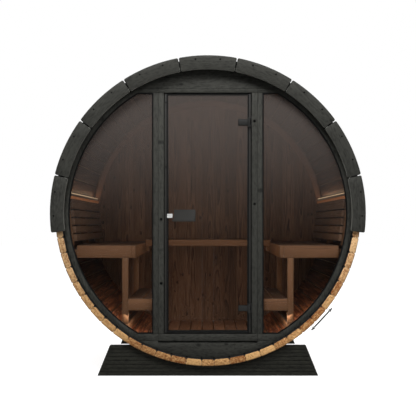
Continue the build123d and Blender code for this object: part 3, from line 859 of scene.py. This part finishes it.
def make_materials():
    """Every finish of the sauna, by name."""
    chosen = settings()
    stave = tuple(chosen.stave_colour)
    bench = tuple(chosen.bench_colour)
    stain = tuple(chosen.stain_colour)
    stain_deep = tuple(part * 0.3 for part in stain)
    stain_curved = tuple(part * 0.86 for part in stain)
    room_side = (tint(106, 72, 52), tint(46, 30, 22))
    # The second pair is painted warm light for the staves near the floor.
    painted_warm_light = (tint(214, 130, 82), tint(96, 50, 30))
    # The last colour is the staves' black, which also paints the shade in their grooves and the shadow under
    # the roof.
    materials["stave"] = stave_wood("stave_wood", stave, tint(122, 72, 34), room_side, painted_warm_light,
                                    tint(84, 46, 24), tint(16, 16, 16))
    planed = {"contrast": 0.6, "gloss": 0.2, "knots": 0.12}
    materials["bench"] = wood("bench_wood", bench, tint(82, 54, 36), tint(52, 30, 20), **planed)
    # The seats take painted shade on their tops.
    materials["seat"] = wood("seat_wood", bench, tint(82, 54, 36), tint(52, 30, 20),
                             painted_flat_face_shade=tint(70, 50, 38), **planed)
    materials["floor"] = wood("floor_wood", tint(150, 104, 74), tint(78, 50, 34), tint(46, 30, 20),
                              contrast=0.7, gloss=0.15, knots=0.2, streaks=1.0)
    # The backrest boards take near-black painted shade on their upper and lower faces, in place of the shade
    # in the gaps between them.
    materials["back"] = wood("backrest_wood", tint(132, 100, 78), tint(74, 53, 40), tint(38, 27, 20),
                             gloss=0.15, spread=0.3, streaks=0.8, knots=0.1, painted_flat_face_shade=tint(5, 5, 5))
    materials["trim"] = wood("wall_trim_wood", tint(146, 106, 84), tint(96, 66, 50), tint(60, 38, 27),
                             gloss=0.15)
    # The cap board is a painted lit copy of the bench wood: paler, warmer colours and a faint glow stand for
    # the light of the strip above it.
    materials["lit"] = wood("lit_cap_wood", tint(236, 156, 98), tint(190, 112, 64), tint(120, 66, 38),
                            glow=0.16)
    materials["wall"] = wood("wall_boards", tint(140, 104, 80), tint(54, 36, 27), tint(22, 14, 11),
                             knots=0.5, contrast=0.8, spread=0.6, patches=0.9, streaks=1.0, gloss=0.2)
    stained = {"contrast": 0.4, "rough": 0.6, "relief": 0.0003, "gloss": 0.08, "patches": 0.7,
               "streaks": 2.4, "streak_length": 0.03}
    edge = tint(6, 6, 6)
    materials["stain"] = wood("black_stained_wood", stain, stain_deep, tint(8, 8, 8),
                              spread=0.16, outline=edge, **stained)
    # The curved boards carry a painted highlight along their inner edge.
    materials["curved_stain"] = wood("black_curved_boards", stain_curved, stain_deep, tint(8, 8, 8),
                                     spread=0.12, outline=edge, painted_inner_highlight=tint(118, 118, 112), **stained)
    # The cradles take a darker copy of the stain as painted shade under the barrel.
    materials["cradle"] = wood("dark_stained_wood", tint(40, 40, 35), tint(12, 12, 11), tint(4, 4, 4),
                               spread=0.1, outline=tint(5, 5, 5), **stained)
    # The panes' painted reflection runs from near black low down to pale grey at the top.
    materials["glass"] = tinted_glass("tinted_glass", tint(3, 3, 3), tint(85, 78, 74), 0.14, 0.55)
    # The strip round each window pane is pale glass, a painted highlight on the polished edge that grows
    # towards the top.
    materials["bead"] = tinted_glass("glass_edge", tint(30, 28, 26), tint(180, 172, 166), 0.15, 0.55)
    materials["rubber"] = rubber("black_rubber", tint(7, 7, 7))
    # The screw heads are black, made darker and duller still as painted shade for their sunk holes.
    materials["screw"] = bare_metal("blackened_screw", tint(4, 4, 4), 0.0, 0.7, gloss=0.03)
    materials["bolt"] = bare_metal("dark_bolt_steel", tint(60, 60, 60), 0.9, 0.4, (300.0, 300.0, 300.0))
    materials["black_metal"] = bare_metal("black_hardware", tint(40, 39, 37), 0.0, 0.5, gloss=0.15)
    materials["hinge"] = bare_metal("black_hinge", tint(20, 20, 19), 0.0, 0.5, gloss=0.2)
    materials["latch"] = bare_metal("latch_steel", tint(200, 200, 198), 0.3, 0.35)
    materials["band"] = bare_metal("band_steel", tint(190, 190, 188), 1.0, 0.3, (700.0, 30.0, 700.0))
    materials["shingle"] = shingle_felt("roof_shingle")
    materials["felt"] = rubber("roofing_felt", tint(34, 34, 35))
    materials["profile"] = bare_metal("light_profile", tint(186, 176, 160), 0.9, 0.35, (900.0, 20.0, 900.0))
    materials["diffuser"] = diffuser("light_diffuser", tint(255, 222, 180), 0.7)


class SAUNA_OT_shell(bpy.types.Operator):
    """Lay the sixty staves with eased edges and put on the two steel bands"""

    bl_idname = "sauna.shell"
    bl_label = "Barrel shell"

    def execute(self, context):
        for node in ("staves_bottom", "staves_lower_left", "staves_lower_right", "staves_upper_left",
                     "staves_upper_right", "staves_top"):
            boards(node, materials["stave"], stave_ease, (0, 1, 0))
        for node in ("front_band", "back_band"):
            whole = merged_copy(node, node + "_strap")
            select_only(whole)
            bpy.ops.mesh.separate(type="LOOSE")
            strap, bolt = sorted(bpy.context.selected_objects, key=lambda part: -max(part.dimensions))
            strap.name = node + "_strap"
            bolt.name = node + "_bolt"
            finished(eased(strap, strap_ease, 1), materials["band"], stands_for=[node])
            finished(eased(bolt, bolt_ease), materials["bolt"], stands_for=[node])
        groove_seal("front_groove_seal", wall_low.y + groove_seal_inset)
        groove_seal("back_groove_seal", back_high.y - groove_seal_inset)
        return {"FINISHED"}


def groove_seal(name, y):
    """A thin ring that closes the grooves between the staves at a wall."""
    start = Matrix.Translation((bore_radius + groove_seal_width / 2, y, axis_height))
    ring = spun_bar(name, groove_seal_width, groove_seal_depth, start, 180, 2 * math.pi)
    return finished(ring, materials["rubber"])


class SAUNA_OT_cradles(bpy.types.Operator):
    """Finish the two grooved cradles"""

    bl_idname = "sauna.cradles"
    bl_label = "Cradles"

    def execute(self, context):
        for node in ("front_cradle", "back_cradle"):
            boards(node, materials["cradle"], stave_ease, (1, 0, 0))
        return {"FINISHED"}


class SAUNA_OT_roof(bpy.types.Operator):
    """Lay the shingles over the roof skin, and finish the curved boards with their screws"""

    bl_idname = "sauna.roof"
    bl_label = "Roof"

    def execute(self, context):
        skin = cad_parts["roof_skin"]
        skin.data.materials.clear()
        skin.data.materials.append(materials["felt"])
        cover = joined(slope_shingles(settings().shingle_exposure) + ridge_shingles(), "roof_shingles")
        facing_out(cover)
        with_modifier(cover, "SOLIDIFY", thickness=tab_thickness, offset=1.0)
        lay_grain(cover)
        finished(cover, materials["shingle"])
        for node in ("front_fascia", "back_fascia"):
            boards(node, materials["curved_stain"], fascia_ease, screws=fascia_screws,
                   screw_size=fascia_screw_size)
        return {"FINISHED"}


def slope_shingles(exposure):
    """The shingles of both slopes in courses from the lower edges up, every other one half a tab along."""
    courses = round(roof_radius * roof_half_angle / exposure)
    step = roof_half_angle / courses
    length = step * roof_radius * tab_overlap
    pitch = barrel_length / tabs_per_course
    whole_tab = shingle(pitch - tab_gap, length)
    half_tab = shingle(pitch / 2 - tab_gap, length)
    plain_row = [(whole_tab, pitch * (number + 0.5)) for number in range(tabs_per_course)]
    shifted_row = [(half_tab, pitch / 4), (half_tab, barrel_length - pitch / 4)]
    shifted_row += [(whole_tab, pitch * (number + 1)) for number in range(tabs_per_course - 1)]
    tabs = [laid_on_roof(tab, side, roof_half_angle - course * step, barrel_front + place)
            for side in (1, -1) for course in range(courses)
            for tab, place in (shifted_row if course % 2 else plain_row)]
    for flat in (whole_tab, half_tab):
        bpy.data.objects.remove(flat)
    return tabs


def ridge_shingles():
    """The shingles along the ridge, each over the end of the one before it."""
    flat = shingle(ridge_tab_width, ridge_tab_length)
    flat.data.transform(Matrix.Rotation(math.pi / 2, 4, "Z"))
    pitch = barrel_length / ridge_tab_count
    caps = []
    for number in range(ridge_tab_count):
        cap = link(bpy.data.objects.new("tab", flat.data.copy()))
        for vertex in cap.data.vertices:
            share = -vertex.co.x / ridge_tab_length
            y = barrel_front + number * pitch + share * ridge_tab_length
            radius = roof_radius + 2 * tab_lift + tab_lift * (1.0 - share)
            vertex.co = round_point(vertex.co.y / roof_radius, radius, min(y, barrel_back))
        caps.append(cap)
    bpy.data.objects.remove(flat)
    return caps


def facing_out(cover):
    """Turn the single-sided faces on the roof so that all of them look away from the barrel's axis."""
    in_edit(cover)
    bpy.ops.mesh.select_all(action="SELECT")
    bpy.ops.mesh.normals_make_consistent(inside=False)
    bpy.ops.object.mode_set(mode="OBJECT")
    outwards = [face.normal.dot(face.center - Vector((0, face.center.y, axis_height))) > 0
                for face in cover.data.polygons]
    work = in_edit(cover)
    work.faces.ensure_lookup_table()
    for face, good in zip(work.faces, outwards):
        face.select_set(not good)
    bmesh.update_edit_mesh(cover.data)
    if not all(outwards):
        bpy.ops.mesh.flip_normals()
    bpy.ops.object.mode_set(mode="OBJECT")


def fascia_screws(curved):
    """One screw near each end of every curved board."""
    place = [vertex.co for vertex in curved.data.vertices]
    front = curved.name.startswith("front")
    y = min(point.y for point in place) if front else max(point.y for point in place)
    places = []
    for board in islands(curved.data):
        turns = [math.atan2(place[number].x, place[number].z - axis_height) for number in board]
        radii = [math.hypot(place[number].x, place[number].z - axis_height) for number in board]
        for edge, turn in ((min(turns), 1), (max(turns), -1)):
            point = round_point(edge + turn * fascia_screw_turn, max(radii) - fascia_screw_inset, y)
            places.append(facing(point, (0, -1 if front else 1, 0), spin=edge * 3))
    return places


class SAUNA_OT_front_wall(bpy.types.Operator):
    """Finish the black front wall, its rings, mullions and door frame"""

    bl_idname = "sauna.front_wall"
    bl_label = "Front wall"

    def execute(self, context):
        ease = settings().edge_ease
        for node in ("front_wall_top", "front_wall_bottom"):
            boards(node, materials["stain"], ease, (1, 0, 0))
        for node in ("front_ring_left", "front_ring_right", "front_mullions"):
            boards(node, materials["stain"], ease, (0, 0, 1))
        boards("door_frame", materials["stain"], ease, screws=frame_screws,
               screw_size=frame_screw_size)
        boards("door_stop", materials["stain"], ease)
        for node in ("left_window", "right_window"):
            pane = eased(merged_copy(node, node + "_pane"), pane_ease, 1)
            finished(pane, materials["glass"], stands_for=[node])
            seal = gasket(node, node + "_gasket", 0.0, gasket_width, gasket_depth)
            finished(seal, materials["rubber"])
            # A pale strip inside the gasket paints the highlight on the polished glass edge.
            bead = gasket(node, node + "_bead", gasket_width, glass_edge_width, glass_edge_depth)
            finished(bead, materials["bead"])
        return {"FINISHED"}


def frame_screws(frame_boards):
    """Two screws in each post of the door frame."""
    post_middle = frame_high.x - frame_screw_inset
    return [facing((side * post_middle, frame_low.y, height), (0, -1, 0), spin=height * 7)
            for side, height in ((-1, 0.607), (-1, 1.030), (1, 1.131), (1, 1.677))]


class SAUNA_OT_back_wall(bpy.types.Operator):
    """Finish the back wall as upright boards"""

    bl_idname = "sauna.back_wall"
    bl_label = "Back wall"

    def execute(self, context):
        wall = eased(joined(upright_strips("back_wall", settings().back_board_width), "back_wall_boards"),
                     wall_board_ease)
        lay_grain(wall, (0, 0, 1))
        finished(wall, materials["wall"], stands_for=["back_wall"])
        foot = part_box("left_light_strip")[0].z - trim_foot_drop - axis_height
        reach = math.acos(foot / (bore_radius - trim_foot_inset))
        start = round_point(-reach, bore_radius - trim_inset, back_low.y - trim_depth / 2 - 0.0003)
        placing = Matrix.Translation(start) @ Matrix.Rotation(math.pi / 2 - reach, 4, "Y")
        trim = eased(spun_bar("back_wall_trim", trim_width, trim_depth, placing, 56, -2 * reach), trim_ease)
        lay_grain(trim, (1, 0, 0))
        finished(trim, materials["trim"])
        return {"FINISHED"}


def upright_strips(node, width):
    """A CAD wall cut into upright boards of a width, one of them in the middle."""
    low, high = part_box(node)
    count = math.ceil((high.x - low.x) / width)
    if count % 2 == 0:
        count += 1
    whole = merged_copy(node, node + "_whole")
    strips = []
    for number in range(count):
        left = (number - count / 2) * width + wall_board_gap / 2
        right = left + width - wall_board_gap
        strip = link(bpy.data.objects.new(node + "_strip", whole.data.copy()))
        select_only(strip)
        bpy.ops.object.mode_set(mode="EDIT")
        for edge, side in ((left, 1), (right, -1)):
            bpy.ops.mesh.select_all(action="SELECT")
            bpy.ops.mesh.bisect(plane_co=(edge, 0, 0), plane_no=(side, 0, 0), use_fill=True,
                                clear_inner=True)
        bpy.ops.object.mode_set(mode="OBJECT")
        if len(strip.data.polygons):
            strips.append(strip)
    bpy.data.objects.remove(whole)
    return strips


class SAUNA_OT_floor(bpy.types.Operator):
    """Finish the floor slats and the joists below them"""

    bl_idname = "sauna.floor"
    bl_label = "Floor"

    def execute(self, context):
        boards("floor_slats", materials["floor"], settings().edge_ease, (0, 1, 0))
        boards("floor_joists", materials["bench"], settings().edge_ease, (1, 0, 0))
        return {"FINISHED"}


class SAUNA_OT_benches(bpy.types.Operator):
    """Finish the benches, their steps and the bench across the back"""

    bl_idname = "sauna.benches"
    bl_label = "Benches"

    def execute(self, context):
        for side in ("left_", "right_"):
            for part in ("bench_seat", "bench_frame", "step"):
                boards(side + part, materials["seat"], settings().edge_ease)
        boards("back_bench", materials["seat"], settings().edge_ease)
        return {"FINISHED"}


class SAUNA_OT_backrests(bpy.types.Operator):
    """Finish the backrests, their ribs and the light strips on top"""

    bl_idname = "sauna.backrests"
    bl_label = "Backrests and lights"

    def execute(self, context):
        ease = settings().edge_ease
        for side in ("left_", "right_"):
            node = side + "backrest"
            select_only(merged_copy(node, node + "_boards"))
            bpy.ops.mesh.separate(type="LOOSE")
            *panels, cap = sorted(bpy.context.selected_objects, key=lambda part: part.bound_box[1][2])
            cap.name = side + "cap_board"
            rest = joined(panels, node + "_boards")
            for piece, material, rounding in ((rest, "back", backrest_ease), (cap, "lit", ease)):
                eased(piece, rounding)
                lay_grain(piece, (0, 1, 0))
                finished(piece, materials[material], stands_for=[node])
            boards(side + "backrest_ribs", materials["bench"], ease, (0, 0, 1))
            strip = side + "light_strip"
            low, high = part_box(strip)
            turn = -1 if side == "left_" else 1
            inner = high.x if side == "left_" else low.x
            joint = inner + turn * diffuser_width
            near, far = sorted((joint, inner + turn * (diffuser_width + profile_width)))
            profile = box_piece(side + "light_profile", (near, low.y, low.z), (far, high.y, high.z))
            finished(profile, materials["profile"], stands_for=[strip])
            near, far = sorted((inner, joint))
            lamp = box_piece(side + "light_diffuser", (near, low.y, high.z - diffuser_height),
                             (far, high.y, high.z))
            finished(lamp, materials["diffuser"], stands_for=[strip])
        return {"FINISHED"}


def door_strip(name, left, right, bottom, top):
    """A flat strip on the face of the door glass."""
    return box_piece(name, (left, door_seal_front, bottom), (right, door_seal_back, top), door_seal_ease)


def hinge_pads(hinges):
    """The thin black pads between the hinge plates and the glass, which show a little all round them."""
    seal = glass_high.x - door_seal_end - hinge_pad_gap
    middle = (glass_low.z + glass_high.z) / 2
    plates = [vertex.co for vertex in hinges.data.vertices
              if vertex.co.x < seal and vertex.co.y < glass_low.y]
    pads = []
    for side in (-1, 1):
        corners = [place for place in plates if (place.z - middle) * side > 0]
        heights = [place.z for place in corners]
        pads.append(door_strip("hinge_pads", min(place.x for place in corners) - hinge_pad_reach, seal,
                               min(heights) - hinge_pad_reach, max(heights) + hinge_pad_reach))
    return joined(pads, "hinge_pads")


class SAUNA_OT_door(bpy.types.Operator):
    """Finish the glass door, its hinges, lock case and latch"""

    bl_idname = "sauna.door"
    bl_label = "Door"

    def execute(self, context):
        pane = eased(merged_copy("door_glass", "door_glass_pane"), pane_ease, 1)
        finished(pane, materials["glass"], "door", ["door_glass"])
        seals = []
        edges = []
        for side in (-1, 1):
            outer, edge, start, end = (side * (glass_high.x - inset)
                                       for inset in (0.0, door_edge_width, door_seal_start, door_seal_end))
            seals.append(door_strip("door_seal", *sorted((start, end)), glass_low.z, glass_high.z))
            edges.append(door_strip("door_edges", *sorted((outer, edge)), glass_low.z, glass_high.z))
        across = (glass_low.x + door_seal_end, glass_high.x - door_seal_end)
        foot = (glass_low.z, glass_low.z + door_seal_foot)
        head = (glass_high.z - door_seal_head, glass_high.z)
        for heights in (foot, head):
            seals.append(door_strip("door_seal", *across, *heights))
        finished(joined(seals, "door_seal"), materials["rubber"], "door")
        finished(joined(edges, "door_edges"), materials["black_metal"], "door")
        buttons = [facing((glass_low.x + button_inset, glass_low.y, height), (0, -1, 0))
                   for height in button_heights]
        button = screw_head(button_diameter)
        finished(turned(buttons, button, "door_buttons"), materials["rubber"], "door")
        bpy.data.objects.remove(button)
        for node, body, name in (
            ("door_hinges", "door", "hinge_plates"),
            ("frame_hinges", "cabin", "hinge_leaves"),
        ):
            hinge = merged_copy(node, name)
            if body == "door":
                finished(hinge_pads(hinge), materials["rubber"], body)
            finished(eased(hinge, hinge_ease), materials["hinge"], body, [node])
        case = eased(merged_copy("door_handle", "lock_case"), lock_ease)
        finished(case, materials["black_metal"], "door", ["door_handle"])
        latch = eased(merged_copy("door_latch", "latch_block"), latch_ease)
        finished(latch, materials["latch"], "door", ["door_latch"])
        return {"FINISHED"}


class SAUNA_OT_stage(bpy.types.Operator):
    """Set up the pale floor, the soft lamps and the camera"""

    bl_idname = "sauna.stage"
    bl_label = "Stage"

    def execute(self, context):
        scene = context.scene
        scene.view_settings.view_transform = "Standard"
        bpy.ops.object.select_all(action="DESELECT")
        bpy.ops.mesh.primitive_plane_add(size=60.0, location=(0, 0, 0))
        ground = bpy.context.object
        ground.name = "ground"
        ground.data.materials.append(ground_finish())
        make_world(scene)
        studio_lamps()
        inside_lamps()
        scene.camera = picture_camera()
        return {"FINISHED"}


def area_lamp(name, place, direction, size, power, colour=white):
    """A soft lamp of a length and a height at a place, shining in a direction."""
    data = bpy.data.lights.new(name, "AREA")
    data.shape = "RECTANGLE"
    data.size, data.size_y = size
    data.energy = power
    data.color = colour
    lamp = link(bpy.data.objects.new(name, data))
    lamp.location = place
    lamp.rotation_euler = Vector(direction).to_track_quat("-Z", "Y").to_euler()


def studio_lamps():
    """The soft lamps all round the sauna, and an even light from above."""
    middle = Vector((0, 0, axis_height))
    for name, place, size, power in (
        ("key_lamp", (-0.8, -3.8, 5.4), 1.8, 285.0),
        ("fill_lamp", (2.4, -4.6, 4.2), 1.8, 110.0),
        ("back_lamp", (1.0, 5.0, 4.6), 3.0, 260.0),
        ("left_lamp", (-5.6, 1.4, 2.6), 2.4, 150.0),
        ("right_lamp", (5.6, 1.4, 2.6), 2.4, 150.0),
    ):
        area_lamp(name, place, middle - Vector(place), (size, size), power)
    data = bpy.data.lights.new("top_lamp", "SUN")
    data.energy = 1.5
    data.angle = math.radians(40)
    link(bpy.data.objects.new("top_lamp", data)).location = (0, 0, 6)


def inside_lamps():
    """The glow of the light strips, and the light that comes in through the glass."""
    for side in (-1, 1):
        area_lamp("strip_lamp", (side * 0.912, 0.0, 1.216), (side * 0.3, 0, 0.95), (1.2, 0.012), 0.45,
                  strip_light)
        area_lamp("corner_lamp", (side * 0.44, wall_high.y + 0.09, 0.40), (side * 0.35, 0.5, -0.8),
                  (0.3, 0.12), 0.8, room_light)
    area_lamp("room_lamp", (0.0, wall_high.y + 0.08, 1.86), (0, 0.85, -0.5), (0.6, 0.12), 3.2, room_light)
    area_lamp("door_lamp", (0.0, wall_high.y + 0.02, 0.72), (0, 1, 0), (0.7, 0.8), 2.0, room_light)


def picture_camera():
    """The camera that stands where the photo was taken."""
    data = bpy.data.cameras.new("camera")
    data.lens = camera_lens
    data.sensor_width = 36.0
    data.shift_x, data.shift_y = (shift / picture_width for shift in camera_shift)
    camera = link(bpy.data.objects.new("camera", data))
    camera.location = (0.0, barrel_front - camera_distance, camera_height)
    camera.rotation_euler = (math.pi / 2, 0, 0)
    return camera


def seen_directly(finish):
    """1 for rays from the camera, from gloss and through glass, otherwise 0."""
    paths = finish.node("ShaderNodeLightPath").output.node.outputs
    camera, gloss, through = (Wire(finish, paths[name])
                              for name in ("Is Camera Ray", "Is Glossy Ray", "Is Transmission Ray"))
    return finish.math("MAXIMUM", finish.math("MAXIMUM", camera, gloss), through)


def ground_finish():
    """A pale floor that looks white, and still takes the sauna's shadow."""
    finish = Finish(bpy.data.materials.new("pale_ground"))
    speckle = finish.noise(finish.place(), 30.0, 3.0)
    seen = seen_directly(finish)
    pale = finish.mix(seen, (0.2, 0.2, 0.2), finish.mix(speckle, (0.96, 0.96, 0.96), white))
    matt = finish.node("ShaderNodeBsdfDiffuse", sockets={"Color": pale})
    glow = finish.node("ShaderNodeEmission", sockets={"Color": white, "Strength": 1.25})
    mixed = finish.node("ShaderNodeMixShader", sockets={0: seen * 0.7, 1: matt, 2: glow})
    finish.node("ShaderNodeOutputMaterial", sockets={"Surface": mixed})
    return finish.owner


def make_world(scene):
    """Even light all round, white where it is seen."""
    finish = Finish(bpy.data.worlds.new("studio"))
    scene.world = finish.owner
    strength = seen_directly(finish) * 0.92 + 0.08
    glow = finish.node("ShaderNodeBackground", sockets={"Color": white, "Strength": strength})
    finish.node("ShaderNodeOutputWorld", sockets={"Surface": glow})


operators = (
    SAUNA_OT_shell,
    SAUNA_OT_cradles,
    SAUNA_OT_roof,
    SAUNA_OT_front_wall,
    SAUNA_OT_back_wall,
    SAUNA_OT_floor,
    SAUNA_OT_benches,
    SAUNA_OT_backrests,
    SAUNA_OT_door,
    SAUNA_OT_stage,
)


class SAUNA_PT_panel(bpy.types.Panel):
    """Lists the sauna's settings and parts"""

    bl_idname = "SAUNA_PT_panel"
    bl_label = "Barrel sauna"
    bl_space_type = "VIEW_3D"
    bl_region_type = "UI"
    bl_category = "Sauna"

    def draw(self, context):
        for name in SaunaSettings.__annotations__:
            self.layout.prop(context.scene.sauna, name)
        for operator in operators:
            self.layout.operator(operator.bl_idname)


def register():
    """Make the settings, operators and panel known to Blender."""
    for made in (SaunaSettings, *operators, SAUNA_PT_panel):
        bpy.utils.register_class(made)
    bpy.types.Scene.sauna = bpy.props.PointerProperty(type=SaunaSettings)


def unregister():
    """Take the settings, operators and panel away again."""
    del bpy.types.Scene.sauna
    for made in (SAUNA_PT_panel, *reversed(operators), SaunaSettings):
        bpy.utils.unregister_class(made)


def main():
    """Dress the frame piece by piece."""
    register()
    make_materials()
    for operator in operators:
        group, name = operator.bl_idname.split(".")
        getattr(getattr(bpy.ops, group), name)()


if __name__ == "__main__":
    main()
